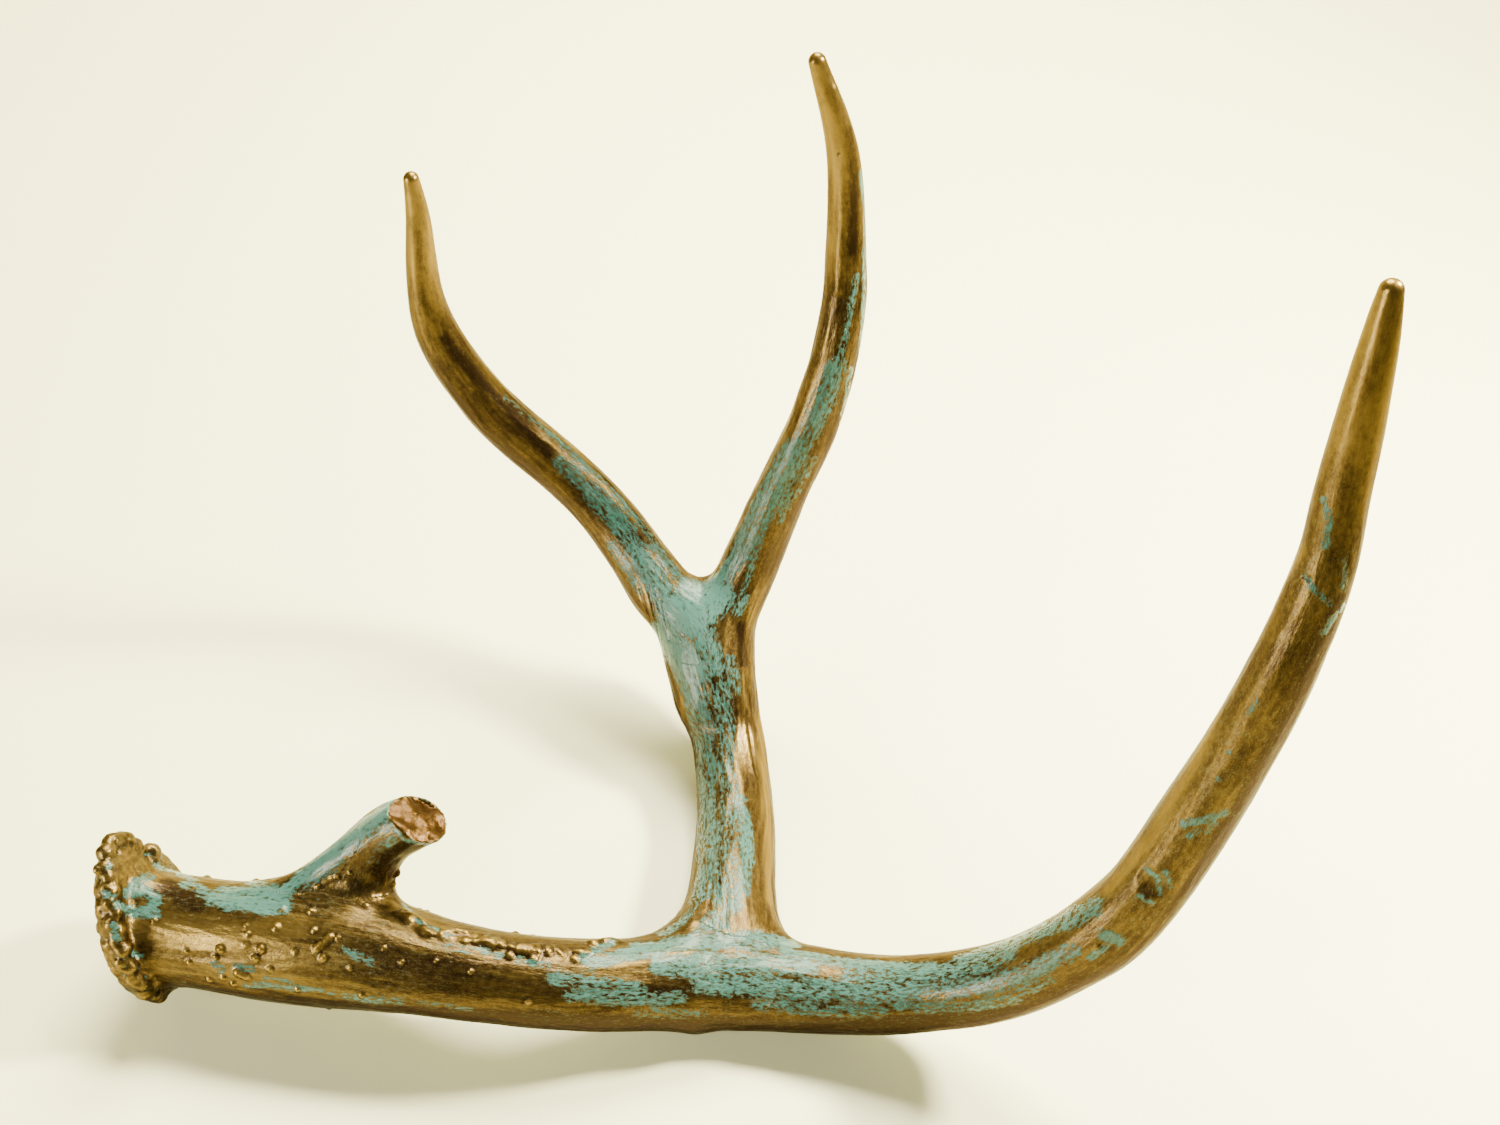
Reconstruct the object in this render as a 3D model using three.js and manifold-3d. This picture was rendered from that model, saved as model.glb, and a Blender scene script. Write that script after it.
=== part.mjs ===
// A painted deer antler: burr, main beam, sawn-off brow tine and a forked stem with two tines.
// Millimetres, +Z up. The antler lies on its outer side, so it stands on three low spots:
// the edge of the burr, the belly of the beam and the belly of the stem. The origin is on the
// surface it lies on, under the middle of its bounding box.
import * as THREE from 'three';
import { mergeVertices } from 'three/addons/utils/BufferGeometryUtils.js';
import Module from 'manifold-3d';

const wasm = await Module();
wasm.setup();

// Driving dimensions -------------------------------------------------------
const JOINT_GAP = 0.3;            // between pieces that meet at a fork
const SIDES = 18;                 // sides of every branch's section
const RING_STEP = 10;             // distance between sections along a branch
const BURR_CENTRE = [-172.3, -65.9, 28.5];
const BURR_AXIS = [0.968, -0.239, 0.074];   // along the beam, away from the base
const BURR_RADIUS = 26.0;         // to the hollows between the knobs
const BURR_THICKNESS = 9.0;
const BURR_KNOBS = 19;
const KNOB_RADIUS = 4.2;
const BASE_DOME = 3.5;            // how far the base bulges out of the burr

// Centre lines as [x, y, z, radius], burr to tip and fork to tip.
const BEAM = [
  [-176.5, -63.4, 25.3, 19.8], [-168.5, -65.9, 25.9, 18.4], [-154.8, -69.1, 26.9, 18.4], [-141.8, -71.8, 28, 18.3],
  [-130.2, -73.3, 29.1, 19], [-116.7, -75.6, 30.1, 19.1], [-102.2, -79, 31, 19], [-89.7, -81.5, 31.8, 18.6],
  [-77.3, -84.3, 32.4, 17.7], [-63.2, -88.2, 33, 16.1], [-47.4, -90.8, 32.9, 15.3], [-36.5, -91.5, 31.5, 15.5],
  [-25.4, -91, 28.9, 15.6], [-9.9, -89.5, 25.3, 15.7], [6.7, -87.2, 21, 15.8], [23.6, -85.1, 17, 15.6],
  [40.8, -84.6, 15, 15.3], [58, -85.5, 15.7, 15], [73.9, -88.5, 18.6, 13.7], [87.8, -91.6, 23.1, 13.4],
  [102.3, -94.2, 29.1, 13], [115.9, -96.9, 37.6, 13], [128.4, -99.4, 49.3, 12.5], [139.1, -101.8, 63.2, 12.4],
  [148.8, -102.6, 77.7, 12.5], [156.9, -101.4, 91.8, 11.7], [163.6, -99.5, 105.8, 11.4], [169.2, -96.7, 120.1, 11.3],
  [174.1, -94.6, 134.6, 10.9], [178.2, -92.6, 149.2, 10.5], [181.7, -90.7, 163.7, 9.9], [185, -88.4, 177.4, 9.6],
  [187.8, -85.7, 190.2, 8.9], [190, -82.5, 202.5, 8.5], [191.7, -78.8, 214.6, 7.8], [192.4, -75.5, 226.6, 7.4],
  [192.9, -72.7, 238.6, 7], [193.2, -70.5, 250.7, 6.4], [193.3, -68.6, 262.5, 5.6], [193.5, -66.5, 273.2, 4.7],
  [193.3, -65.2, 281.6, 3.6], [193.2, -64.6, 286, 2.3], [193.1, -64.4, 288.4, 0.9],
];
const STEM = [
  [36, -84.9, 17.1, 15.8], [35.5, -66.3, 16.9, 16.2], [34.3, -48.5, 16.5, 15.9], [34.5, -28.7, 15.2, 15.2],
  [34.4, -10.4, 14.1, 14.6], [33.1, 7.6, 16, 14.5], [31, 23.8, 22, 14.5], [27.8, 37, 30.6, 15.8],
  [24.5, 52.4, 39.4, 17.3], [23.2, 61.5, 44.5, 16.5],
];
const LEFT_TINE = [
  [26, 36, 33, 9.5], [25, 43.5, 40.5, 11.3], [20.5, 53, 48.5, 12.6], [5, 69.5, 57.9, 13.5],
  [-2.7, 79, 63.8, 12], [-11.2, 87.4, 71.3, 11.4], [-20.3, 93.8, 80, 11], [-30, 98.8, 89.3, 10.7],
  [-39.7, 101.4, 99.4, 10.6], [-49.4, 102.7, 110.4, 10.5], [-57.8, 102.9, 122.1, 10], [-65.3, 103.6, 134.4, 9.3],
  [-71.5, 105, 147.3, 9], [-75.5, 106.6, 160.6, 8.1], [-77.2, 108.2, 174.3, 6.7], [-77.6, 109.4, 188.4, 5.7],
  [-77.1, 109.6, 201.7, 4.5], [-77.4, 109.9, 212.3, 3.3], [-77.6, 109.9, 216.6, 2.2], [-77.7, 109.8, 219.2, 0.9],
];
const RIGHT_TINE = [
  [27, 36, 33.5, 9.5], [28, 43.5, 41, 11.3], [30.2, 53, 49.2, 12.2], [38.8, 67.7, 66.3, 12],
  [43.5, 71.6, 78.6, 11.5], [48.9, 74.1, 92, 11], [53.7, 76.6, 105.5, 10.5], [58.8, 78.5, 118.6, 10.1],
  [63.4, 80.9, 131.4, 9.8], [67.2, 84.1, 143.8, 9.6], [70.6, 87.5, 155.7, 9.3], [72.5, 91.5, 167.4, 9],
  [74.1, 95.8, 179, 8.4], [74.1, 99.1, 190.6, 8], [74.1, 102.1, 202.6, 7.3], [73.3, 104.2, 214.7, 6.7],
  [71.8, 105.1, 226.9, 6], [69.4, 105.4, 239, 5], [66.3, 105.3, 250.2, 4.1], [63.4, 105.5, 258.9, 3.1],
  [62.3, 105.2, 262.6, 2.2], [61.9, 105, 264.9, 0.9],
];
const BROW_TINE = [
  [-96.5, -67.3, 33.0, 13.7], [-92.6, -62.6, 41.0, 12.9], [-88.2, -58.4, 49.0, 11.9], [-83.6, -56.0, 57.0, 10.5],
  [-78.6, -55.4, 64.0, 9.8], [-73.6, -56.7, 69.0, 9.5], [-68.4, -57.7, 74.0, 9.6],
];

// The stem is as deep as it is wide where it is round, and flatter towards its fork.
const STEM_FLATNESS = [1.0, 0.97, 0.95, 0.97, 1.0, 1.0, 0.98, 0.9, 0.82, 0.8];
const FORK_PLANE_WIDE = [0.94, -0.15, 0.3];  // across the stem, in the plane of its two tines

// Where the pieces part: a point on each plane and its normal.
const BEAM_SPLIT = { at: [66.0, -86.8, 17.0], normal: [0.985, -0.16, 0.06] };
const STEM_SPLIT = { at: [34.6, -58.0, 16.0], normal: [-0.02, 1.0, -0.03] };
const CROTCH_SPLIT = { at: [23.6, 56.0, 43.0], normal: [-0.08, 0.72, 0.69] };
const TINE_SPLIT = { at: [22.5, 66.0, 50.0], normal: [0.94, -0.15, 0.3] };
const BROW_SPLIT = { at: [-90.6, -60.5, 44.5], normal: [0.42, 0.33, 0.845] };

// Helpers --------------------------------------------------------------------
const vec = (a) => new THREE.Vector3(a[0], a[1], a[2]);

function solid(geometry) {
  const g = geometry.clone();
  g.deleteAttribute('normal');
  g.deleteAttribute('uv');
  const m = mergeVertices(g, 1e-4);
  return new wasm.Manifold(new wasm.Mesh({
    numProp: 3,
    vertProperties: new Float32Array(m.attributes.position.array),
    triVerts: new Uint32Array(m.index.array),
  }));
}

function geometryOf(manifold) {
  const mesh = manifold.getMesh();
  const g = new THREE.BufferGeometry();
  g.setAttribute('position', new THREE.BufferAttribute(new Float32Array(mesh.vertProperties), 3));
  g.setIndex(new THREE.BufferAttribute(new Uint32Array(mesh.triVerts), 1));
  return g;
}

// A branch: a closed cylinder whose rings are moved onto the centre line. `grow` fattens it
// evenly, `wide` turns its sections and `flat` squeezes them across that direction.
function branch(stations, { wide = [0, 1, 0], flat = null, grow = 0, sides = SIDES } = {}) {
  const centre = new THREE.CatmullRomCurve3(stations.map(vec), false, 'centripetal');
  const radius = stations.map((s) => s[3]);
  const rings = Math.max(4, Math.round(centre.getLength() / RING_STEP));
  const g = new THREE.CylinderGeometry(1, 1, 1, sides, rings, false);
  const p = g.attributes.position;
  const last = stations.length - 1;
  // parameter of each ring, evenly spaced along the curve, denser towards a pointed end
  const pointed = radius[last] < 4;
  const frames = [];
  for (let i = 0; i <= rings; i++) {
    let u = i / rings;
    if (pointed) u = 1 - Math.pow(1 - u, 1.25);
    const t = centre.getUtoTmapping(u);
    const k = t * last, k0 = Math.min(last - 1, Math.floor(k)), f = k - k0;
    const r = radius[k0] * (1 - f) + radius[k0 + 1] * f + grow;
    const q = flat ? flat[k0] * (1 - f) + flat[k0 + 1] * f : 1;
    const tangent = centre.getTangent(t);
    const a = vec(wide).addScaledVector(tangent, -vec(wide).dot(tangent)).normalize();
    const b = new THREE.Vector3().crossVectors(tangent, a);
    frames.push({ c: centre.getPoint(t), a, b, r, q });
  }
  for (let i = 0; i < p.count; i++) {
    const ring = Math.round((0.5 - p.getY(i)) * rings);
    const { c, a, b, r, q } = frames[rings - ring];
    const x = p.getX(i) * r, z = p.getZ(i) * r * q;
    p.setXYZ(i, c.x + a.x * x - b.x * z, c.y + a.y * x - b.y * z, c.z + a.z * x - b.z * z);
  }
  return solid(g);
}

// Everything on the side of a plane that its normal points to, moved out by `off`.
function beyond({ at, normal }, side, off = JOINT_GAP / 2) {
  const n = vec(normal).normalize().multiplyScalar(side);
  const size = 900;
  const g = new THREE.BoxGeometry(size, size, size);
  g.applyQuaternion(new THREE.Quaternion().setFromUnitVectors(new THREE.Vector3(0, 0, 1), n));
  const c = vec(at).addScaledVector(n, size / 2 + off);
  g.translate(c.x, c.y, c.z);
  return solid(g);
}

function piece(name, manifold, colour, roughness, metalness) {
  const mesh = new THREE.Mesh(geometryOf(manifold),
    new THREE.MeshStandardMaterial({ color: colour, roughness, metalness }));
  mesh.name = name;
  return mesh;
}

// Burr: a disc with a flared neck and a domed base, ringed by knobs -------------
const axis = vec(BURR_AXIS).normalize();
const toAxis = new THREE.Quaternion().setFromUnitVectors(new THREE.Vector3(0, 1, 0), axis);
const half = BURR_THICKNESS / 2;
const profile = [
  [0, -half - BASE_DOME], [10, -half - BASE_DOME * 0.85], [18, -half - BASE_DOME * 0.35],
  [BURR_RADIUS - 2.5, -half], [BURR_RADIUS, -half * 0.3], [BURR_RADIUS, half * 0.4],
  [BURR_RADIUS - 3, half], [20.5, half + 5], [17.5, half + 12], [0, half + 12],
].map(([x, y]) => new THREE.Vector2(x, y));
const disc = new THREE.LatheGeometry(profile, 28);
disc.applyQuaternion(toAxis);
disc.translate(...BURR_CENTRE);
let burr = solid(disc);
for (let i = 0; i < BURR_KNOBS; i++) {
  const a = (i / BURR_KNOBS) * Math.PI * 2;
  const r = KNOB_RADIUS * (0.85 + 0.3 * Math.abs(Math.sin(i * 2.4)));
  const knob = new THREE.SphereGeometry(r, 8, 5);
  knob.scale(1, 1.25, 1);
  const at = new THREE.Vector3(Math.cos(a) * (BURR_RADIUS - 1.2), Math.sin(i * 1.7) * 1.6, Math.sin(a) * (BURR_RADIUS - 1.2));
  knob.translate(at.x, at.y, at.z);
  knob.applyQuaternion(toAxis);
  knob.translate(...BURR_CENTRE);
  burr = burr.add(solid(knob));
}

// The pieces -------------------------------------------------------------------
const beam = branch(BEAM);
const stem = branch(STEM, { wide: FORK_PLANE_WIDE, flat: STEM_FLATNESS });
const left = branch(LEFT_TINE);
const right = branch(RIGHT_TINE);
const brow = branch(BROW_TINE);
const above = beyond({ at: [0, 0, 0], normal: [0, 0, 1] }, 1, 0);  // over the surface it lies on

const lowerBeam = beam
  .add(burr)
  .add(stem.intersect(beyond(STEM_SPLIT, -1)))
  .add(brow.intersect(beyond(BROW_SPLIT, -1)))
  .intersect(beyond(BEAM_SPLIT, -1))
  .intersect(above);
const upperBeam = beam.intersect(beyond(BEAM_SPLIT, 1)).intersect(above);
const forkStem = stem
  .add(left.intersect(beyond(CROTCH_SPLIT, -1)))
  .add(right.intersect(beyond(CROTCH_SPLIT, -1)))
  .intersect(beyond(STEM_SPLIT, 1))
  .intersect(beyond(CROTCH_SPLIT, -1))
  .intersect(above);
const leftTine = left.intersect(beyond(CROTCH_SPLIT, 1)).intersect(beyond(TINE_SPLIT, -1));
const rightTine = right.intersect(beyond(CROTCH_SPLIT, 1)).intersect(beyond(TINE_SPLIT, 1));
const browTine = brow.intersect(beyond(BROW_SPLIT, 1)).subtract(branch(BEAM, { grow: JOINT_GAP }));

const group = new THREE.Group();
group.add(piece('burr_and_lower_beam', lowerBeam, 0x8a6a32, 0.38, 0.7));
group.add(piece('upper_beam', upperBeam, 0x8f6f34, 0.36, 0.7));
group.add(piece('brow_tine_stub', browTine, 0x7d8a6c, 0.42, 0.5));
group.add(piece('fork_stem', forkStem, 0x5f9a8c, 0.45, 0.3));
group.add(piece('rear_left_tine', leftTine, 0xa07c38, 0.34, 0.75));
group.add(piece('rear_right_tine', rightTine, 0x9a7a3a, 0.36, 0.7));

// The origin goes under the middle of the box.
const box = new THREE.Box3().setFromObject(group);
for (const mesh of group.children) mesh.position.set(-(box.min.x + box.max.x) / 2, -(box.min.y + box.max.y) / 2, 0);

export default group;
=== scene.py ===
import math

import bpy
import numpy as np
from mathutils import Matrix, Vector


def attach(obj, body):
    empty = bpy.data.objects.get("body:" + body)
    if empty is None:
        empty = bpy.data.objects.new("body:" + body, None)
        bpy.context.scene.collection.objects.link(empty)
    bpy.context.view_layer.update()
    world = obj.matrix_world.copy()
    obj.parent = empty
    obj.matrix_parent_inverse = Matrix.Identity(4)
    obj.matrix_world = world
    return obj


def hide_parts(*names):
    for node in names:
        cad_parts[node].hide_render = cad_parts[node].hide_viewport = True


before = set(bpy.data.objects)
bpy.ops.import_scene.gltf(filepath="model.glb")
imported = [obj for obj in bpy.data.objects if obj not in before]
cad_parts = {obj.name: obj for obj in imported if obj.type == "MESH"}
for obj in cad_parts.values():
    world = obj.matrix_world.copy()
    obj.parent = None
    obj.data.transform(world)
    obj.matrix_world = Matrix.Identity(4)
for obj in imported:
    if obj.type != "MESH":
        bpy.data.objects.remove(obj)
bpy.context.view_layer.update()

FINE = 1.0
F = np.float32
rng = np.random.RandomState(8126)

# ---------------------------------------------------------------- the antler's lines
# Millimetres in the row's frame. [x, y, z, radius], the same centre lines as the solids.
MOVE = np.array([-7.682, -0.058, 0.0])
BEAM = [
    [-176.6, -63.6, 25.1, 19.9], [-168.6, -66.1, 25.7, 18.5], [-154.8, -69.3, 26.7, 18.5],
    [-141.8, -72.1, 27.6, 18.5], [-130.3, -74.1, 28.3, 19.3], [-116.9, -76.4, 29.2, 19.5],
    [-102.3, -79.4, 30.5, 19.2], [-89.8, -81.7, 31.5, 18.7], [-77.4, -84.5, 32.2, 17.8],
    [-63.2, -88.3, 32.9, 16.1], [-47.4, -91, 32.7, 15], [-36.5, -91.7, 31.3, 14.9],
    [-25.4, -91.3, 28.6, 15], [-9.9, -89.8, 25, 15.2], [6.7, -86.6, 20.7, 15.5],
    [23.6, -83.8, 16.6, 15.2], [40.8, -83.1, 14.6, 14.9], [58, -85.3, 15.6, 14.9],
    [73.9, -89, 18.1, 13.5], [87.8, -92.3, 22.3, 13], [102.4, -94.8, 28.5, 12.6],
    [116.2, -97.8, 36.7, 12.6], [129, -100.5, 48.1, 12.1], [139.8, -102.7, 62.3, 12.1],
    [149.8, -103.5, 76.8, 12.3], [158.1, -102.2, 90.9, 11.5], [164.3, -99.8, 105.4, 11.5],
    [169.6, -96.9, 119.9, 11.2], [174.3, -94.7, 134.5, 10.6], [178.4, -92.7, 149.1, 10.1],
    [182.2, -90.9, 163.5, 9.6], [185.3, -88.5, 177.3, 9.3], [188.2, -85.8, 190.1, 8.6],
    [190.8, -82.7, 202.3, 8.2], [192.7, -79, 214.4, 7.6], [192.9, -75.6, 226.5, 7.3],
    [193.1, -72.7, 238.6, 6.9], [193.2, -70.5, 250.7, 6.3], [193.2, -68.6, 262.5, 5.5],
    [193.5, -66.5, 273.2, 4.7], [193.3, -65.2, 281.6, 3.7], [193.2, -64.7, 285.3, 3.1],
]
STEM = [
    [36, -80, 17.2, 8.6], [35.8, -73.5, 17, 13.3], [35.5, -66.3, 16.9, 16.1],
    [34.3, -48.5, 16.5, 15.9], [35.1, -28.7, 15.2, 14.8], [35.4, -10.4, 14.1, 14.2],
    [34, 7.7, 16, 14], [31.8, 23.9, 22, 13.8], [27.8, 37, 30.6, 15.2], [23.6, 52.3, 39.3, 16.5],
    [22.3, 61.4, 44.4, 15],
]
LEFT = [
    [25.7, 36, 33, 9], [24.7, 43.5, 40.5, 10.7], [20.2, 52.9, 48.4, 11.9],
    [4.8, 69.4, 57.8, 12.8], [-2.8, 78.9, 63.7, 11.5], [-10.8, 87.6, 71.5, 11.2],
    [-19.7, 94.2, 80.4, 10.8], [-29.6, 99.1, 89.6, 10.4], [-39.6, 101.5, 99.5, 10.3],
    [-49.6, 102.5, 110.2, 10.1], [-58.4, 102.5, 121.7, 9.7], [-65.9, 103.3, 134.1, 8.9],
    [-72.5, 104.6, 146.9, 8.7], [-77, 106.2, 160.2, 7.7], [-78.4, 108, 174.1, 6.2],
    [-77.8, 109.4, 188.4, 5.3], [-76.7, 109.6, 201.7, 4.3], [-76.9, 110, 211.1, 3.3],
    [-77.1, 110, 216.4, 2.8],
]
RIGHT = [
    [26.8, 36, 33.5, 9], [27.8, 43.5, 41, 10.8], [30, 53, 49.2, 11.6], [38.7, 67.7, 66.3, 11.4],
    [43.9, 71.5, 78.5, 10.9], [49, 74.1, 92, 10.3], [53.8, 76.6, 105.5, 9.9],
    [59.2, 78.4, 118.5, 9.7], [64.1, 80.7, 131.2, 9.2], [68, 83.9, 143.6, 8.9],
    [71.4, 87.4, 155.6, 8.7], [73.4, 91.4, 167.3, 8.4], [75, 95.7, 178.9, 7.7],
    [74.7, 99.1, 190.6, 7.3], [74.4, 102.1, 202.6, 6.7], [73.9, 104.2, 214.7, 6.3],
    [72.8, 105.2, 227, 5.8], [70.2, 105.5, 239.1, 4.9], [66.7, 105.4, 250.3, 4.1],
    [63.9, 105.5, 258.4, 3.3], [62.8, 105.3, 261.9, 3],
]
BROW = [
    [-97.5, -68.5, 33, 12], [-94.6, -63.8, 41, 11.5], [-90.6, -59.9, 49, 10.5], [-86, -57.2, 57, 9.7],
    [-80.6, -56.3, 64, 9.5], [-75.2, -57, 69, 9.3], [-69.4, -58, 74, 9], [-63.8, -59, 79, 9.2],
]
WEB = [
    [-131, -72, 37.5, 4], [-123, -68.5, 41, 4.6], [-113, -65, 45.6, 5], [-103, -61.8, 52, 5.2],
    [-94, -59.5, 59, 4.9], [-86, -58.2, 65, 4.7], [-79, -57.8, 70, 4.7],
]
BURR_CENTRE = np.array([-167.6, -66.8, 28.6]) + MOVE
BURR_AXIS = np.array([0.957, -0.02, 0.28])  # towards the beam
BURR_AXIS /= np.linalg.norm(BURR_AXIS)
CUT_AT = np.array([-68.4, -57.7, 74.0]) + MOVE
CUT_N = np.array([0.42, 0.05, 0.906])
CUT_N /= np.linalg.norm(CUT_N)

# the camera, which also turns a place seen in the picture into a place on the surface
CAM = np.array([40.8, -383.9, 494.63]) + MOVE
PITCH = math.radians(43.0026)
FOCAL = 1583.06  # in pixels of a 1500 x 1125 frame
FWD = np.array([0, math.cos(PITCH), -math.sin(PITCH)])
UP = np.array([0, math.sin(PITCH), math.cos(PITCH)])


def rays(px):
    px = np.atleast_2d(np.array(px, float))
    r = FWD + np.array([1.0, 0, 0]) * ((px[:, :1] - 750) / FOCAL) - UP * ((px[:, 1:2] - 562.5) / FOCAL)
    return r / np.linalg.norm(r, axis=1)[:, None]


# ---------------------------------------------------------------- centre lines
def hermite(s, y, x):
    m = np.gradient(y, s, axis=0)
    i = np.clip(np.searchsorted(s, x, side="right") - 1, 0, len(s) - 2)
    h = (s[i + 1] - s[i])[:, None]
    t = (x - s[i])[:, None] / h
    return (
        (2 * t**3 - 3 * t**2 + 1) * y[i]
        + (t**3 - 2 * t**2 + t) * h * m[i]
        + (-2 * t**3 + 3 * t**2) * y[i + 1]
        + (t**3 - t**2) * h * m[i + 1]
    )


def soften(y, width):
    """A Gaussian average along the first axis that keeps both ends."""
    n = int(width * 3)
    k = np.exp(-0.5 * (np.arange(-n, n + 1) / width) ** 2)
    k /= k.sum()
    z = np.concatenate([2 * y[:1] - y[1 : n + 1][::-1], y, 2 * y[-1:] - y[-n - 1 : -1][::-1]])
    return np.stack([np.convolve(z[:, j], k, "valid") for j in range(y.shape[1])], 1)


class Line:
    """A centre line sampled evenly, with a frame that doesn't twist."""

    def __init__(self, stations, start=0.0, step=1.5, smooth=3.0):
        st = np.array(stations, float)
        p, r = st[:, :3] + MOVE, st[:, 3]
        s = np.r_[0, np.cumsum(np.linalg.norm(np.diff(p, axis=0), axis=1))]
        n = max(8, int(round(s[-1] / step)) + 1)
        x = np.linspace(0, s[-1], n)
        c = soften(hermite(s, p, x), smooth)
        r = soften(np.interp(x, s, r)[:, None], smooth)[:, 0]
        t = np.gradient(c, axis=0)
        t /= np.linalg.norm(t, axis=1)[:, None]
        a = np.empty_like(t)
        v = np.cross(t[0], [0.0, 0.6, 0.8])
        for i in range(n):
            v = v - t[i] * (v @ t[i])
            v /= np.linalg.norm(v)
            a[i] = v
        self.c, self.r, self.t, self.a = (q.astype(F) for q in (c, r, t, a))
        self.b = np.cross(self.t, self.a).astype(F)
        self.c2 = (self.c**2).sum(1)
        seg = np.linalg.norm(np.diff(c, axis=0), axis=1)
        self.step = float(seg.mean())
        self.s = (start + np.r_[0, np.cumsum(seg)]).astype(F)
        self.n = n
        self.lo = (c - r[:, None]).min(0) - 24
        self.hi = (c + r[:, None]).max(0) + 24

    def near(self, p):
        """For each point: distance to the line, radius there, place along it, angle round it, and its three offsets."""
        out = np.empty((len(p), 7), F)
        for k in range(0, len(p), 30000):
            q = p[k : k + 30000]
            i = (self.c2[None] - 2 * q @ self.c.T).argmin(1)
            off = np.clip(((q - self.c[i]) * self.t[i]).sum(1) / self.step, -1, 1)
            u = np.clip(i + off, 0, self.n - 1)
            j = np.minimum(u.astype(np.int32), self.n - 2)
            f = (u - j)[:, None].astype(F)
            v = q - (self.c[j] * (1 - f) + self.c[j + 1] * f)
            a = self.a[j] * (1 - f) + self.a[j + 1] * f
            b = self.b[j] * (1 - f) + self.b[j + 1] * f
            t = self.t[j] * (1 - f) + self.t[j + 1] * f
            f = f[:, 0]
            o = out[k : k + 30000]
            o[:, 0] = np.sqrt((v * v).sum(1))
            o[:, 1] = self.r[j] * (1 - f) + self.r[j + 1] * f
            o[:, 2] = self.s[j] * (1 - f) + self.s[j + 1] * f
            o[:, 4], o[:, 5], o[:, 6] = (v * a).sum(1), (v * b).sum(1), (v * t).sum(1)
            o[:, 3] = np.arctan2(o[:, 5], o[:, 4])
        return out


LINES = {
    "beam": Line(BEAM),
    "stem": Line(STEM, 1000),
    "left": Line(LEFT, 1155),
    "right": Line(RIGHT, 2155),
    "brow": Line(BROW, 3000, smooth=2.0),
    "web": Line(WEB, 2960, smooth=2.0),
}


def smin(a, b, k):
    h = np.maximum(k - np.abs(a - b), 0) / k
    return np.minimum(a, b) - h * h * k * 0.25


def dot(p, v):
    return p @ np.asarray(v, F)


def smoothstep(a, b, x):
    t = np.clip((x - a) / (b - a), 0, 1)
    return t * t * (3 - 2 * t)


# ---------------------------------------------------------------- noise
_perm = np.random.RandomState(11).permutation(4096).astype(np.int32)
_grad = np.random.RandomState(12).normal(size=(4096, 3)).astype(F)
_grad /= np.linalg.norm(_grad, axis=1)[:, None]


def noise(p, seed=0):
    """Gradient noise of points (n, 3), about -1 to 1."""
    p = np.asarray(p, F)
    i = np.floor(p).astype(np.int32)
    f = (p - i).astype(F)
    w = f * f * f * (f * (f * 6 - 15) + 10)
    out = np.zeros(len(p), F)
    for dx in (0, 1):
        hx = _perm[(i[:, 0] + dx + seed * 131) & 4095]
        wx = w[:, 0] if dx else 1 - w[:, 0]
        for dy in (0, 1):
            hy = _perm[(hx + i[:, 1] + dy) & 4095]
            wy = wx * (w[:, 1] if dy else 1 - w[:, 1])
            for dz in (0, 1):
                g = _grad[_perm[(hy + i[:, 2] + dz) & 4095]]
                d = g[:, 0] * (f[:, 0] - dx) + g[:, 1] * (f[:, 1] - dy) + g[:, 2] * (f[:, 2] - dz)
                out += wy * (w[:, 2] if dz else 1 - w[:, 2]) * d
    return out * 1.7


# ---------------------------------------------------------------- burr
BU = np.cross([0, 1, 0], BURR_AXIS)
BU /= np.linalg.norm(BU)
BV = np.cross(BURR_AXIS, BU)


def knob(px, h):
    """Where the ray through a pixel meets the burr's plane moved by h along its axis."""
    r = rays([px])[0]
    at = BURR_CENTRE + BURR_AXIS * h
    return CAM + r * ((at - CAM) @ BURR_AXIS) / (r @ BURR_AXIS)


# [place in the picture, height along the axis, radius]
SEEN = [
    ((99, 869), 0.5, 1.9), ((108, 866), 2.4, 2.0), ((106, 853), 1.0, 3.0), ((111, 842), 1.0, 2.9),
    ((119, 839), 2.0, 2.6), ((127, 840), 2.5, 2.8), ((135, 844), 2.0, 2.2), ((108, 877), 2.6, 1.8),
    ((106, 889), 1.5, 2.2), ((114, 892), 3.4, 2.0), ((109, 903), 2.2, 2.3), ((116, 913), 3.6, 2.4),
    ((112, 924), 2.0, 2.6), ((119, 932), 3.6, 2.2), ((117, 941), 2.2, 2.6), ((124, 950), 3.8, 2.5),
    ((122, 962), 2.0, 2.6), ((130, 968), 3.4, 2.4), ((133, 979), 2.2, 2.6), ((141, 984), 3.2, 2.4),
    ((144, 992), 1.6, 2.8), ((154, 994), 2.4, 3.0), ((163, 988), 2.4, 2.3), ((160, 997), 0.8, 2.2),
]
_r = np.random.RandomState(5)
KNOB_AT, KNOB_R = [], []
for px, h, r in SEEN:
    KNOB_AT.append(knob(px, h))
    KNOB_R.append(r)
BIG_KNOB = knob((150, 854), 3.0)
KNOB_AT.append(BIG_KNOB)
KNOB_R.append(3.8)
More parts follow.
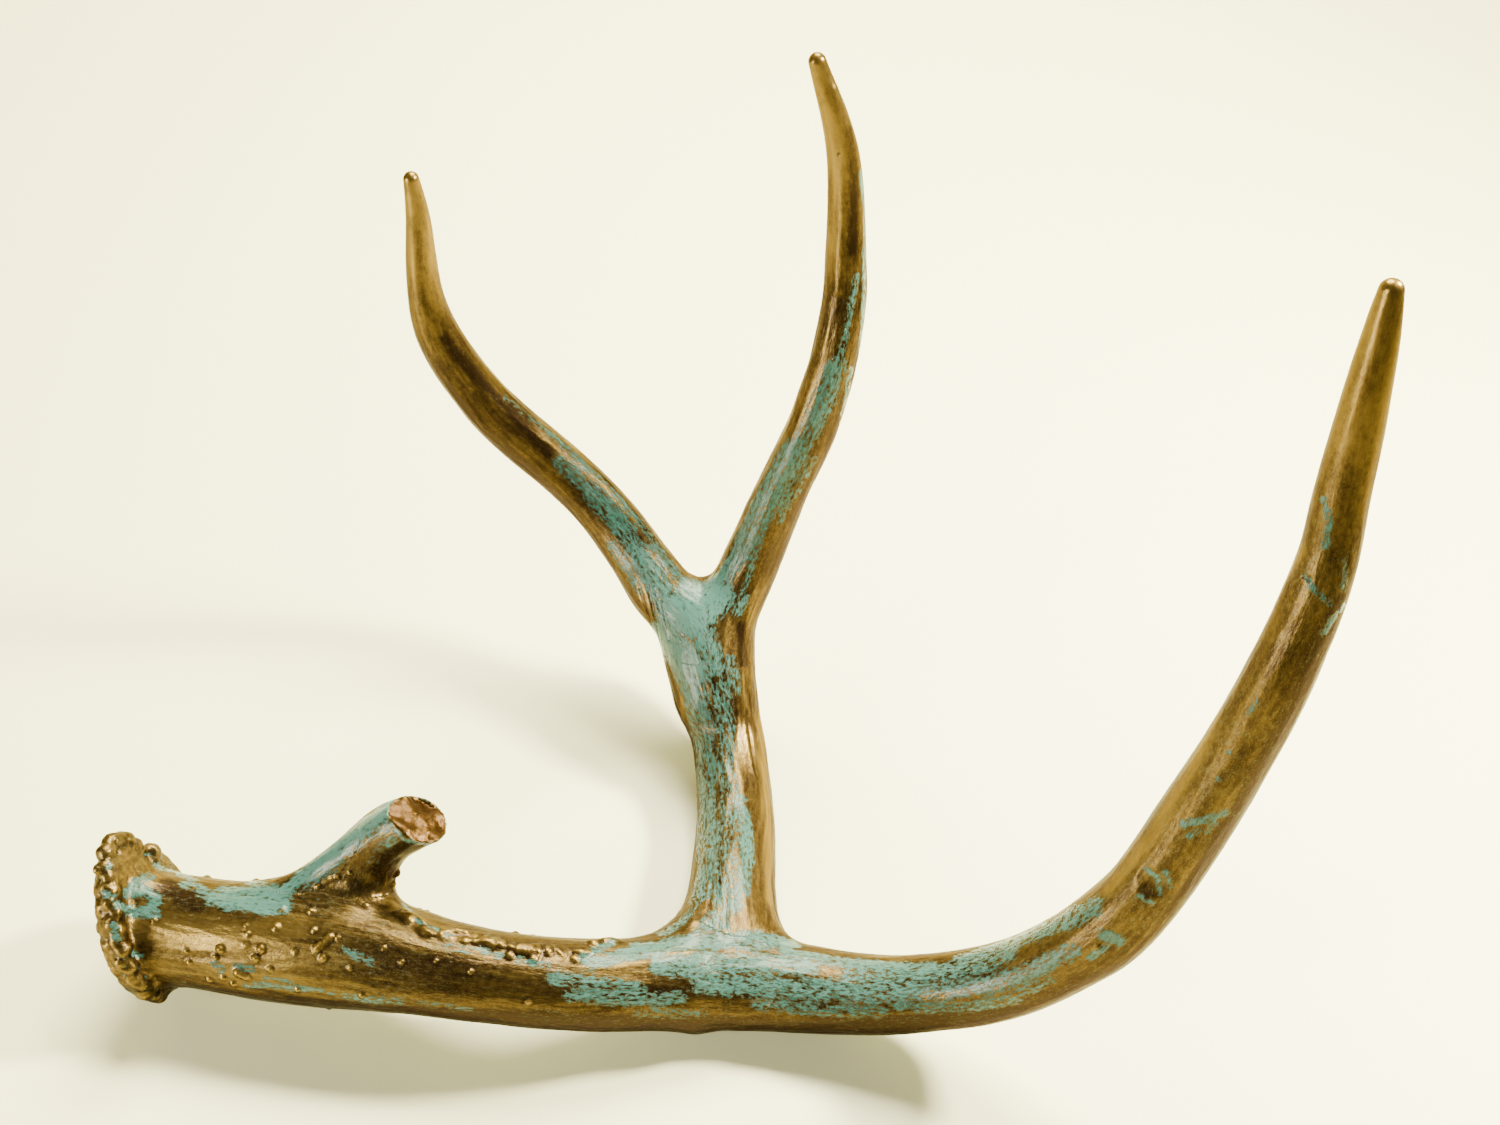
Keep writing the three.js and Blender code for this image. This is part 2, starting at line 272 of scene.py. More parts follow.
# the rim isn't quite round: it follows the knobs
_q = np.array(KNOB_AT) - BURR_CENTRE
_a, _d = np.arctan2(_q @ BV, _q @ BU), np.hypot(_q @ BV, _q @ BU)
RIM_A = np.linspace(-math.pi, math.pi, 73)
_k = np.exp(-((((RIM_A[:, None] - _a + math.pi) % (2 * math.pi) - math.pi) / 0.22) ** 2))
RIM_R = (_k @ np.minimum(_d - 0.9, 31.0) + 0.15 * 22.5) / (_k.sum(1) + 0.15)
for k in range(34):  # all round, on the outer edge and behind it
    ang = (k + _r.uniform(-0.3, 0.3)) / 34 * 2 * math.pi
    h = _r.uniform(-1.9, 0.1)
    rad = np.interp((ang + math.pi) % (2 * math.pi) - math.pi, RIM_A, RIM_R) - 1.0 + _r.uniform(-0.9, 0.5)
    KNOB_AT.append(BURR_CENTRE + BURR_AXIS * h + (BU * math.cos(ang) + BV * math.sin(ang)) * rad)
    KNOB_R.append(_r.uniform(1.9, 3.0))
for k in range(26):  # the side away from the camera
    ang = (k + _r.uniform(-0.3, 0.3)) / 26 * 2 * math.pi
    h = _r.uniform(0.2, 2.4)
    rad = np.interp((ang + math.pi) % (2 * math.pi) - math.pi, RIM_A, RIM_R) - 0.5 + _r.uniform(-0.9, 0.7)
    at = BURR_CENTRE + BURR_AXIS * h + (BU * math.cos(ang) + BV * math.sin(ang)) * rad
    if min(np.linalg.norm(at - q) for q in KNOB_AT[: len(SEEN) + 1]) > 5.0 and not 0 < (at - BIG_KNOB)[1] < 16:
        KNOB_AT.append(at)
        KNOB_R.append(_r.uniform(2.0, 3.2))
KNOB_AT, KNOB_R = np.array(KNOB_AT), np.array(KNOB_R)


def burr(p):
    q = p - BURR_CENTRE.astype(F)
    h = dot(q, BURR_AXIS)
    x, y = dot(q, BU), dot(q, BV)
    rho = np.sqrt(x * x + y * y)
    ang = np.arctan2(y, x)
    n = noise(np.stack([np.cos(ang) * 3.1, np.sin(ang) * 3.1, h * 0.12], 1), 3)
    rim = np.interp(ang, RIM_A, RIM_R).astype(F) + n * 0.8
    dx, dy = rho - (rim - 2.4), np.abs(h) - 1.6
    f = np.minimum(np.maximum(dx, dy), 0) + np.sqrt(np.maximum(dx, 0) ** 2 + np.maximum(dy, 0) ** 2) - 2.4
    base = (np.sqrt((rho / 17.0) ** 2 + ((h + 2.5) / 4.6) ** 2) - 1) * 4.6
    near = np.nonzero(f < 12)[0]
    if len(near):
        g = np.full(len(near), 1e3, F)
        pn = p[near]
        for c, r in zip(KNOB_AT, KNOB_R):
            d = np.sqrt(((pn - c.astype(F)) ** 2).sum(1)) - F(r)
            g = smin(g, d, 2.2)
        f[near] = smin(f[near], g, 2.4)
    return f, base, h, rim


def field(p, parts=None):
    """Signed distance, nearly, to the smooth antler. parts, if given, gets each branch's own numbers."""
    d = {}
    for name, line in LINES.items():
        m = np.ones(len(p), bool)
        for k in range(3):
            m &= (p[:, k] > line.lo[k]) & (p[:, k] < line.hi[k])
        v = np.full(len(p), 60.0, F)
        m = np.nonzero(m)[0]
        if len(m):
            q = line.near(p[m])
            v[m] = q[:, 0] - q[:, 1]
            if parts is not None:
                parts[name] = (m, q)
        d[name] = v
    if parts is not None:
        parts["dist"] = d
    beam = d["beam"]
    b = np.nonzero(p[:, 0] < -145)[0]
    ring = None
    if len(b):
        ring, base, h, rim = burr(p[b])
        beam = beam.copy()
        wide = np.maximum(rim - 24.0, 0)
        flare = (4.6 + 0.75 * wide) * np.exp(-np.maximum(h, 0) / (4.0 + 0.45 * wide))  # widens towards the burr
        beam[b] = np.maximum(beam[b] - flare, -(h + 3.4))
    brow = smin(d["brow"], d["web"], 7.0)
    f = smin(beam, np.maximum(brow, dot(p - CUT_AT.astype(F), CUT_N)), 11.0)
    tines = smin(d["left"], d["right"], 14.0)
    f = smin(f, smin(d["stem"], tines, 9.0), 15 + 14 * smoothstep(26.0, 12.0, p[:, 0]))
    if ring is not None:
        f[b] = smin(smin(f[b], ring, 3.0), base, 2.0)
    return f


def on_surface(px):
    """Where rays through the picture's pixels meet the smooth antler."""
    r = rays(px)
    t = np.full(len(r), 330.0)
    for _ in range(70):
        t = t + np.clip(field((CAM + r * t[:, None]).astype(F)), -4, 30) * 0.9
        t = np.minimum(t, 900)
    return CAM + r * t[:, None]


# ---------------------------------------------------------------- skin
def skin(h):
    """Quads and points around the field's zero, on a sparse grid of step h."""
    lo = np.array([-200.0, -121.0, -7.0])
    hi = np.array([192.0, 121.0, 292.0])
    big = 8 * h
    n = np.ceil((hi - lo) / big).astype(int) + 1
    c = np.stack(np.meshgrid(*[np.arange(k) for k in n], indexing="ij"), -1).reshape(-1, 3)

    def cull(cells, size, more):
        f = field((lo + (cells + 0.5) * size).astype(F))
        return cells[np.abs(f) < 0.8661 * size * 1.2 + more]

    c = cull(c, big, 1.0)
    o4 = np.stack(np.meshgrid(*[np.arange(4)] * 3, indexing="ij"), -1).reshape(-1, 3)
    c = (c[:, None] * 4 + o4[None]).reshape(-1, 3)
    c = cull(c, 2 * h, 0.2)
    o2 = np.stack(np.meshgrid(*[np.arange(2)] * 3, indexing="ij"), -1).reshape(-1, 3)
    c = (c[:, None] * 2 + o2[None]).reshape(-1, 3)
    dims = np.array(n) * 8 + 2

    def code(q):
        return (q[..., 0].astype(np.int64) * dims[1] + q[..., 1]) * dims[2] + q[..., 2]

    ids, inv = np.unique(code(c[:, None] + o2[None]).ravel(), return_inverse=True)
    gx, rem = np.divmod(ids, dims[1] * dims[2])
    gy, gz = np.divmod(rem, dims[2])
    val = field((lo + np.stack([gx, gy, gz], 1) * h).astype(F))
    v = val[inv.ravel()].reshape(-1, 8)
    inside = v < 0
    act = inside.any(1) & ~inside.all(1)
    c, v, inside = c[act], v[act], inside[act]
    acc, cnt = np.zeros((len(c), 3)), np.zeros(len(c))
    for a, b in [(0, 1), (2, 3), (4, 5), (6, 7), (0, 2), (1, 3), (4, 6), (5, 7), (0, 4), (1, 5), (2, 6), (3, 7)]:
        m = inside[:, a] != inside[:, b]
        t = np.where(m, v[:, a] / np.where(m, v[:, a] - v[:, b], 1), 0)
        acc += np.where(m[:, None], o2[a] + t[:, None] * (o2[b] - o2[a]), 0)
        cnt += m
    verts = lo + (c + acc / cnt[:, None]) * h
    cid = code(c)
    order = np.argsort(cid)
    scid = cid[order]

    def find(q):
        k = code(q)
        i = np.minimum(np.searchsorted(scid, k), len(scid) - 1)
        return np.where(scid[i] == k, order[i], -1)

    quads = []
    e = np.eye(3, dtype=int)
    for d, far in ((0, 4), (1, 2), (2, 1)):
        m = np.nonzero(inside[:, 0] != inside[:, far])[0]
        u, w = e[(d + 1) % 3], e[(d + 2) % 3]
        q = np.stack([m, find(c[m] - u), find(c[m] - u - w), find(c[m] - w)], 1)
        good = (q >= 0).all(1)
        q, m = q[good], m[good]
        flip = ~inside[m, 0]
        q[flip] = q[flip][:, ::-1]
        quads.append(q)
    return verts, np.concatenate(quads)


def gradient(p, e=0.2):
    g = np.zeros_like(p)
    for t in np.array([[1, -1, -1], [-1, -1, 1], [-1, 1, -1], [1, 1, 1]], F):
        g += field(p + t * F(e))[:, None] * t
    return g / F(4 * e)


def vertex_normals(v, tri):
    n = np.cross(v[tri[:, 1]] - v[tri[:, 0]], v[tri[:, 2]] - v[tri[:, 0]])
    out = np.zeros_like(v)
    for j in range(3):
        for k in range(3):
            out[:, k] += np.bincount(tri[:, j], n[:, k], minlength=len(v))
    return out / np.maximum(np.linalg.norm(out, axis=1), 1e-12)[:, None]


def triangles(v, quads):
    """The shorter diagonal splits each quad."""
    a = ((v[quads[:, 0]] - v[quads[:, 2]]) ** 2).sum(1)
    b = ((v[quads[:, 1]] - v[quads[:, 3]]) ** 2).sum(1)
    s = a <= b
    q, r = quads[s], quads[~s]
    return np.concatenate([q[:, [0, 1, 2]], q[:, [0, 2, 3]], r[:, [0, 1, 3]], r[:, [1, 2, 3]]])


V, QUADS = skin(0.70 * FINE)
V = V.astype(F)
NRM = gradient(V)
V = V - (field(V) / np.maximum((NRM * NRM).sum(1), 0.25))[:, None] * NRM
NRM /= np.linalg.norm(NRM, axis=1)[:, None]
PARTS = {}
field(V, PARTS)
DIST = PARTS.pop("dist")

# ---------------------------------------------------------------- numbers that follow the branches
_w = {k: np.exp(-np.maximum(DIST[k] - np.minimum.reduce(list(DIST.values())), 0) / 2.2) for k in DIST}
_sum = sum(_w.values())
WEIGHT = {k: v / _sum for k, v in _w.items()}
COORD = {}  # for each branch, the vertices near it and their place: round it (two numbers) and along it
for k, (m, q) in PARTS.items():
    use = WEIGHT[k][m] > 0.002
    m, q = m[use], q[use]
    COORD[k] = (m, np.stack([q[:, 4], q[:, 5], q[:, 2] + q[:, 6]], 1), q)


def streak(across, along, seed=0):
    """Noise drawn out along the branches, blended where they meet."""
    out, norm = np.zeros(len(V), F), np.zeros(len(V), F)
    scale = np.array([1 / across, 1 / across, 1 / along], F)
    for i, (k, (m, c, q)) in enumerate(COORD.items()):
        w = WEIGHT[k][m]
        out[m] += w * noise(c * scale + F(i * 7.3), seed + i)
        norm[m] += w * w
    return out / np.sqrt(np.maximum(norm, 1e-6))


def along(name):
    """Place along a branch for every vertex, nan elsewhere."""
    out = np.full(len(V), np.nan, F)
    m, c, q = COORD[name]
    out[m] = q[:, 2]
    return out


def stroke(points, radius, soft=0.5):
    """1 along a line drawn through places in the picture, 0 beyond radius (in pixels) from it."""
    points = [p for p in points]
    if len(points) > 1:  # fill in between
        fine = []
        for a, b in zip(points[:-1], points[1:]):
            k = max(1, int(math.hypot(b[0] - a[0], b[1] - a[1]) / 9))
            fine += [(a[0] + (b[0] - a[0]) * i / k, a[1] + (b[1] - a[1]) * i / k) for i in range(k)]
        points = fine + [points[-1]]
    at = on_surface(points)
    depth = (at - CAM) @ FWD
    r = radius * depth / FOCAL
    lo, hi = (at - 2.2 * r[:, None]).min(0), (at + 2.2 * r[:, None]).max(0)
    m = np.nonzero(((V > lo) & (V < hi)).all(1))[0]
    best = np.full(len(m), 1e9, F)
    pts = V[m]
    for k in range(len(at)):
        a, b = at[k], at[min(k + 1, len(at) - 1)]
        ab = (b - a).astype(F)
        L = float(ab @ ab)
        if L > (6 * r[k]) ** 2 + 400:  # the next place is on another branch
            ab, L = ab * 0, 0.0
        t = np.clip((pts - a.astype(F)) @ ab / L, 0, 1) if L > 0 else np.zeros(len(pts), F)
        d = np.linalg.norm(pts - a.astype(F) - t[:, None] * ab, axis=1) / r[k]
        best = np.minimum(best, d)
    out = np.zeros(len(V), F)
    out[m] = 1 - smoothstep(1 - soft, 1 + soft, best)
    return out


def bump(points, radius, height, power=1.0):
    """Rounded knobs at places in the picture; radius and height in mm."""
    out = np.zeros(len(V), F)
    for at in on_surface(points):
        at = at.astype(F)
        m = np.nonzero((np.abs(V - at) < radius).all(1))[0]
        d = ((V[m] - at) ** 2).sum(1) / radius**2
        out[m] = np.maximum(out[m], height * np.maximum(1 - d, 0) ** power)
    return out


S_BEAM = along("beam")
S_LEFT, S_RIGHT = along("left"), along("right")
TIP = np.zeros(len(V), F)  # 1 at the tips, 0 from about 70 mm down
for s, line in ((S_BEAM, LINES["beam"]), (S_LEFT, LINES["left"]), (S_RIGHT, LINES["right"])):
    t = np.nan_to_num(smoothstep(float(line.s[-1]) - 90, float(line.s[-1]) - 10, s))
    TIP = np.maximum(TIP, t)
NECK = np.nan_to_num(1 - smoothstep(60, 130, S_BEAM)) * WEIGHT["beam"]  # near the burr
UPPER = np.nan_to_num(smoothstep(270, 330, S_BEAM)) * WEIGHT["beam"]
BURR_H = dot(V - BURR_CENTRE.astype(F), BURR_AXIS)
ON_BURR = (1 - smoothstep(5.0, 9.0, BURR_H)) * (V[:, 0] < -145)
ON_CUT = smoothstep(0.93, 0.98, dot(NRM, CUT_N)) * (np.abs(dot(V - CUT_AT.astype(F), CUT_N)) < 1.2) * (
    np.linalg.norm(V - CUT_AT.astype(F), axis=1) < 18
)

# ---------------------------------------------------------------- relief
SHAPE = np.zeros(len(V), F)  # mm along the normal
smooth_off = (1 - 0.75 * TIP) * (1 - ON_CUT)
rough = np.clip(0.55 + 0.45 * WEIGHT["stem"] + 0.1 * NECK - 0.25 * UPPER, 0.2, 1.1) * smooth_off
SHAPE += 0.45 * streak(11, 34, 1) * smooth_off * (1 - 0.5 * ON_BURR)
g1 = streak(3.4, 24, 21)
g2 = streak(2.1, 13, 31)
SHAPE += rough * (0.24 * (1 - 2 * np.abs(g1)) + 0.15 * g2)
g3 = streak(1.5, 6.5, 41)
SHAPE += 0.055 * g3 * (1 - 0.6 * TIP) * (1 - 0.6 * ON_CUT)

# pearls, small round bumps on the lower beam
PEARLS = [
    (154, 920, 1.3), (282, 910, 1.7), (311, 911, 1.5), (276, 927, 1.6), (248, 934, 1.3), (246, 945, 1.0),
    (220, 949, 1.7), (215, 957, 1.2), (261, 949, 1.7), (255, 958, 1.5), (314, 930, 1.3), (323, 958, 1.5),
    (189, 962, 1.2), (186, 951, 1.0), (210, 979, 1.5), (223, 977, 1.2), (234, 983, 1.4), (298, 989, 1.4),
    (337, 877, 1.2), (362, 995, 1.3), (528, 1002, 1.2), (332, 878, 1.0), (350, 873, 1.0), (366, 905, 1.0),
    (384, 948, 1.1), (402, 962, 1.2), (436, 961, 1.0), (471, 972, 1.1), (350, 968, 1.0), (295, 952, 1.0),
    (270, 968, 1.1), (338, 938, 1.1), (246, 925, 0.9), (318, 886, 1.1),
]
PEARL = np.zeros(len(V), F)
for x, y, r in PEARLS:
    PEARL = np.maximum(PEARL, bump([(x, y)], r + 0.1, 0.62 * r, 1.5))
PEARL = np.maximum(PEARL, bump([(238, 972), (242, 974), (246, 976)], 1.9, 1.2, 1.3))
PEARL = np.maximum(PEARL, bump([(317, 948), (321, 945), (326, 941), (330, 938)], 1.8, 1.0, 1.3))
# more of them where the photo doesn't look
_r = np.random.RandomState(77)
m = np.nonzero((S_BEAM > 18) & (S_BEAM < 150) & (WEIGHT["beam"] > 0.9) & (NRM @ np.array([0, -0.5, 0.6], F) < -0.05))[0]
for i in _r.choice(m, 46, replace=False):
    r = _r.uniform(0.9, 1.6)
    d = ((V - V[i]) ** 2).sum(1) / (r + 0.5) ** 2
    PEARL = np.maximum(PEARL, 0.75 * r * np.maximum(1 - d, 0) ** 1.3)
# the knobbly ridge behind the beam, from the stub to the stem
RIDGE = stroke([(404, 914), (428, 930), (486, 940), (510, 950), (548, 950), (575, 956), (594, 944), (614, 942)], 7, 0.6)
lumps = smoothstep(-0.35, 0.6, streak(4.6, 6.5, 61) + 0.35 * noise(V * F(1 / 2.4), 62))
KNOBBLY = RIDGE * (0.25 + 1.25 * lumps)
for x, y, r, h in [
    (501, 945, 2.4, 1.2), (510, 955, 1.9, 1.0), (534, 958, 2.2, 1.0), (548, 951, 2.4, 1.3), (575, 958, 2.1, 1.0),
    (594, 944, 2.7, 1.5), (605, 941, 2.2, 1.2), (614, 943, 2.0, 0.9), (486, 940, 2.4, 1.1), (428, 931, 2.0, 0.9),
    (405, 913, 2.3, 1.2), (411, 857, 2.0, 1.3), (396, 873, 2.0, 1.4), (393, 884, 1.8, 0.9), (466, 941, 1.8, 0.8),
    (767, 600, 1.7, 1.3), (1030, 1016, 2.2, 1.0), (1012, 1021, 1.8, 0.6), (1098, 950, 2.0, 0.35),
]:
    KNOBBLY = np.maximum(KNOBBLY, bump([(x, y)], r, h, 1.2))
SHAPE += PEARL + KNOBBLY
# crinkled skin on the neck's upper edge
CRINKLE = stroke([(172, 866), (200, 875), (240, 880), (262, 880), (290, 868), (318, 850)], 13, 0.7)
SHAPE += CRINKLE * 0.45 * streak(3.0, 5.0, 71)
# dents
SHAPE -= bump([(1152, 884)], 5.5, 0.9, 1.5)
SHAPE -= bump([(839, 154)], 0.9, 0.5) + bump([(1309, 579)], 1.1, 0.5) + bump([(1304, 576)], 0.9, 0.4)
for line in (
    [(645, 575), (652, 604), (660, 640)], [(654, 588), (660, 612)], [(662, 604), (670, 640)],
    [(640, 590), (650, 620)], [(688, 852), (684, 884)], [(712, 880), (708, 915)],
):
    SHAPE -= 0.35 * stroke(line, 1.6, 0.6)
# the right tine has a soft edge down its front
SHAPE += 0.55 * stroke([(836, 90), (845, 130), (846, 180), (842, 240), (838, 290)], 5, 0.9) * (1 - 0.3 * TIP)
# the big knob on the burr is hollow
d = np.linalg.norm(V - (BIG_KNOB + 3.2 * (CAM - BIG_KNOB) / np.linalg.norm(CAM - BIG_KNOB)).astype(F), axis=1)
SHAPE -= 1.5 * np.maximum(1 - (d / 2.6) ** 2, 0)
# burr and base: rough bone
iso = noise(V * F(1 / 3.2), 81)
fine = noise(V * F(1 / 1.5), 82)
SHAPE += ON_BURR * (0.25 * iso + 0.14 * fine)
BASE = (1 - smoothstep(-4.2, -2.8, BURR_H)) * (V[:, 0] < -145)
SHAPE += BASE * (0.55 * noise(V * F(1 / 4.5), 83) - 0.5 * smoothstep(0.25, 0.5, noise(V * F(1 / 2.4), 84)))
# cut face: sawn, then wrinkled under thick paint
SHAPE += ON_CUT * (1.6 * noise(V * F(1 / 6.5), 91) + 0.35 * noise(V * F(1 / 3.0), 92))

P = V + NRM * SHAPE[:, None]
P[:, 2] = np.maximum(P[:, 2], 0.0)
TRI = triangles(P, QUADS)
SMOOTH_N = vertex_normals(P.astype(np.float64), TRI)

# hollows and ridges: how the surface lies against its surroundings
E = np.concatenate([QUADS[:, [0, 1]], QUADS[:, [1, 2]], QUADS[:, [2, 3]], QUADS[:, [3, 0]]])


def spread(x, times):
    cnt = np.bincount(E[:, 0], minlength=len(V)) + np.bincount(E[:, 1], minlength=len(V))
    for _ in range(times):
        acc = np.bincount(E[:, 0], x[E[:, 1]], minlength=len(V)) + np.bincount(E[:, 1], x[E[:, 0]], minlength=len(V))
        x = (0.3 * x + 0.7 * acc / np.maximum(cnt, 1)).astype(F)
    return x


HOLLOW = np.zeros(len(V), F)
for k, weight in ((2, 0.5), (8, 1.0)):
    k = max(1, int(k / FINE / FINE + 0.5))
    mean = np.stack([spread(P[:, j], k) for j in range(3)], 1)
    HOLLOW += weight * ((mean - P) * SMOOTH_N).sum(1)  # positive in a hollow
HOLLOW -= spread(HOLLOW, 12)

# ---------------------------------------------------------------- paint
mottle = 0.3 * streak(1.7, 5.0, 101) + 0.3 * streak(3.8, 13, 111) + 0.2 * noise(V * F(1 / 1.6), 5) + 0.2 * streak(1.3, 9, 121)
broad = streak(16, 40, 131)

TEAL = [
    # burr and neck
    (1.0, 6, [(128, 893), (144, 889), (158, 900)]), (1.0, 5, [(118, 905), (132, 911), (152, 913)]),
    (1.0, 4, [(150, 905), (157, 915)]), (0.9, 4, [(103, 893), (113, 897)]), (1.0, 3, [(109, 866)]),
    (0.9, 5, [(133, 886), (140, 880), (150, 876)]), (0.7, 6, [(158, 868), (176, 872), (192, 881)]),
    (0.95, 6, [(184, 884), (196, 886), (203, 892)]), (0.8, 4, [(114, 925), (117, 938)]), (0.8, 3, [(132, 953), (140, 956)]),
    (0.55, 4, [(185, 869), (210, 874), (240, 880)]),
    # upper edge of the neck and up the stub
    (1.25, 9, [(213, 897), (232, 902), (252, 903), (268, 906), (283, 905)]), (1.1, 7, [(222, 890), (250, 892), (275, 891)]),
    (1.15, 7, [(275, 897), (292, 886), (310, 870), (330, 850), (352, 830), (372, 814), (386, 804)]),
    (0.75, 6, [(300, 872), (320, 858), (345, 836), (368, 819)]), (0.85, 5, [(262, 884), (250, 883)]),
    (0.6, 7, [(330, 868), (352, 848), (372, 832), (390, 822)]), (1.3, 11, [(306, 876), (330, 856), (352, 838), (374, 818), (390, 808)]),
    (0.75, 5, [(392, 838), (380, 850), (372, 866)]),
    # lower side of the neck
    (0.8, 4, [(246, 985), (270, 985), (300, 988), (322, 990)]), (0.6, 3, [(265, 977), (290, 981)]),
    (0.75, 4, [(214, 963), (222, 970)]), (0.7, 4, [(237, 966), (252, 969)]), (0.5, 5, [(330, 992), (372, 1000), (400, 1001)]),
    (0.45, 4, [(420, 1003), (470, 1010)]), (0.45, 4, [(344, 950), (372, 962)]),
    # behind the stub and along the ridge
    (0.55, 4, [(404, 905), (420, 922), (450, 937)]), (0.6, 4, [(480, 950), (500, 956)]), (0.5, 4, [(430, 945), (470, 950)]),
    (0.85, 5, [(584, 958), (598, 950), (612, 944)]), (0.7, 4, [(520, 960), (548, 965)]),
    # beam under the stem
    (0.75, 8, [(556, 978), (590, 982), (640, 990)]), (0.95, 8, [(590, 962), (625, 955), (655, 950)]),
    (0.7, 7, [(570, 995), (620, 1000), (680, 998)]),
    (1.2, 10, [(640, 948), (680, 944), (720, 941), (760, 940), (790, 944)]),
    (1.0, 11, [(660, 965), (710, 962), (760, 962), (810, 966)]),
    (0.8, 11, [(700, 982), (760, 986), (820, 990), (880, 992), (930, 992)]),
    (1.0, 8, [(790, 952), (830, 960), (880, 966), (930, 968)]),
    (0.72, 11, [(850, 978), (910, 976), (965, 968), (1010, 952)]),
    (0.6, 8, [(760, 1004), (820, 1008), (880, 1010)]), (0.4, 7, [(640, 1012), (700, 1014)]),
    (0.8, 11, [(960, 960), (1005, 944), (1045, 928), (1078, 914), (1095, 905)]),
    (0.8, 9, [(950, 990), (1000, 982), (1040, 968), (1072, 950)]), (0.6, 7, [(900, 1006), (960, 1008), (1010, 1000), (1050, 980)]),
    (1.1, 7, [(1105, 936), (1117, 940)]), (0.9, 4, [(1090, 958), (1106, 948)]),
    # beam going up
    (0.9, 3, [(1146, 868), (1156, 878), (1160, 893)]), (0.8, 3, [(1140, 896), (1150, 902)]), (0.7, 3, [(1166, 872), (1170, 886)]),
    (1.0, 4, [(1183, 824), (1200, 820), (1224, 812)]), (0.9, 3, [(1188, 836), (1200, 829)]), (0.8, 3, [(1206, 832), (1216, 822)]),
    (0.9, 2.5, [(1229, 753)]), (0.9, 2.5, [(1219, 779)]), (0.6, 3, [(1248, 716), (1258, 700)]),
    (0.9, 4, [(1324, 632), (1334, 617), (1344, 605)]), (0.6, 4, [(1304, 570), (1314, 590), (1330, 604)]),
    (0.6, 4, [(1336, 645), (1330, 672)]), (0.75, 4, [(1324, 500), (1330, 520), (1326, 545)]), (0.5, 4, [(1346, 560), (1344, 590)]),
    # stem
    (1.0, 17, [(697, 700), (702, 750), (706, 800), (706, 850), (702, 890)]), (0.78, 12, [(722, 690), (726, 740), (727, 800), (726, 860), (722, 905)]),
    (1.2, 8, [(740, 800), (746, 830), (747, 862), (741, 892), (734, 908)]), (0.7, 7, [(694, 905), (682, 922), (662, 934)]),
    (0.8, 7, [(712, 915), (704, 930), (690, 940)]), (0.7, 6, [(728, 915), (730, 930)]),
    # crotch
    (1.5, 20, [(664, 640), (676, 652), (690, 672)]), (1.6, 18, [(672, 612), (690, 622), (702, 606), (714, 596)]),
    (1.5, 13, [(690, 588), (704, 592), (712, 584)]), (1.3, 14, [(690, 690), (700, 715)]), (1.05, 9, [(726, 880), (722, 905), (716, 925)]), (1.05, 14, [(705, 640), (712, 665)]), (0.8, 7, [(730, 660), (738, 690)]),
    # left tine
    (1.05, 13, [(664, 600), (652, 575), (636, 550)]), (0.95, 12, [(628, 536), (610, 512), (592, 492)]),
    (0.75, 9, [(586, 486), (572, 472), (560, 462)]), (0.75, 5, [(668, 560), (640, 524), (606, 486), (575, 456), (548, 432)]),
    (0.5, 4, [(540, 426), (520, 410), (506, 398)]), (0.9, 8, [(676, 575), (655, 548)]), (0.8, 7, [(638, 590), (626, 566), (612, 545)]),
    # right tine
    (1.1, 11, [(716, 590), (730, 566), (742, 545)]), (1.05, 15, [(742, 550), (758, 515), (776, 482), (794, 452)]),
    (0.9, 12, [(798, 450), (814, 420), (828, 392), (836, 368)]), (0.7, 7, [(738, 610), (752, 575), (764, 548)]),
    (0.6, 7, [(780, 520), (796, 490), (812, 460)]), (0.8, 5, [(838, 430), (846, 400), (850, 370)]),
    (0.9, 4.5, [(858, 372), (862, 330), (864, 290), (864, 250)]), (0.8, 3.5, [(864, 250), (864, 210), (860, 172)]),
    (0.8, 4, [(838, 362), (846, 335), (852, 296), (856, 276)]), (0.6, 3, [(834, 404), (842, 372)]),
]
DENSITY = np.zeros(len(V), F)
for d, r, pts in TEAL:
    DENSITY = np.maximum(DENSITY, d * stroke(pts, r, 0.55))
BARE = [
    (1.0, 6, [(168, 885), (186, 898), (200, 903)]), (0.9, 9, [(170, 897), (190, 905)]), (0.85, 6, [(592, 941), (630, 938), (655, 938)]),
    (1.0, 7, [(756, 700), (760, 760), (765, 830), (768, 890)]), (0.9, 6, [(748, 680), (752, 740), (758, 800)]),
    (0.6, 5, [(752, 905), (748, 922)]), (0.9, 3, [(681, 700), (686, 760), (689, 830)]), (0.75, 4, [(740, 630), (744, 662)]),
    (0.9, 5, [(752, 590), (762, 560), (776, 530)]), (0.85, 5, [(640, 640), (622, 590), (596, 552), (572, 520)]),
    (0.8, 6, [(350, 880), (372, 868), (384, 850)]), (0.6, 7, [(340, 905), (364, 886)]),
]
for d, r, pts in BARE:
    DENSITY *= 1 - d * stroke(pts, r, 0.5)
# the sides that the photo doesn't show
seen = smoothstep(-0.25, 0.15, ((CAM.astype(F) - V) * NRM).sum(1) / np.linalg.norm(CAM.astype(F) - V, axis=1))
s_tine = np.maximum(np.nan_to_num(1 - smoothstep(1165, 1290, S_LEFT)) * WEIGHT["left"], np.nan_to_num(1 - smoothstep(2165, 2320, S_RIGHT)) * WEIGHT["right"])
stubby = (WEIGHT["brow"] + WEIGHT["web"]) * (1 - ON_CUT)
under_beam = np.nan_to_num(smoothstep(120, 190, S_BEAM) * (1 - smoothstep(330, 420, S_BEAM))) * WEIGHT["beam"]
back = 0.72 * WEIGHT["stem"] + 0.75 * s_tine + 0.62 * stubby + 0.42 * under_beam + 0.22 * WEIGHT["beam"] * (1 - TIP)
back = back + 0.42 * broad * np.clip(back * 3, 0, 1)
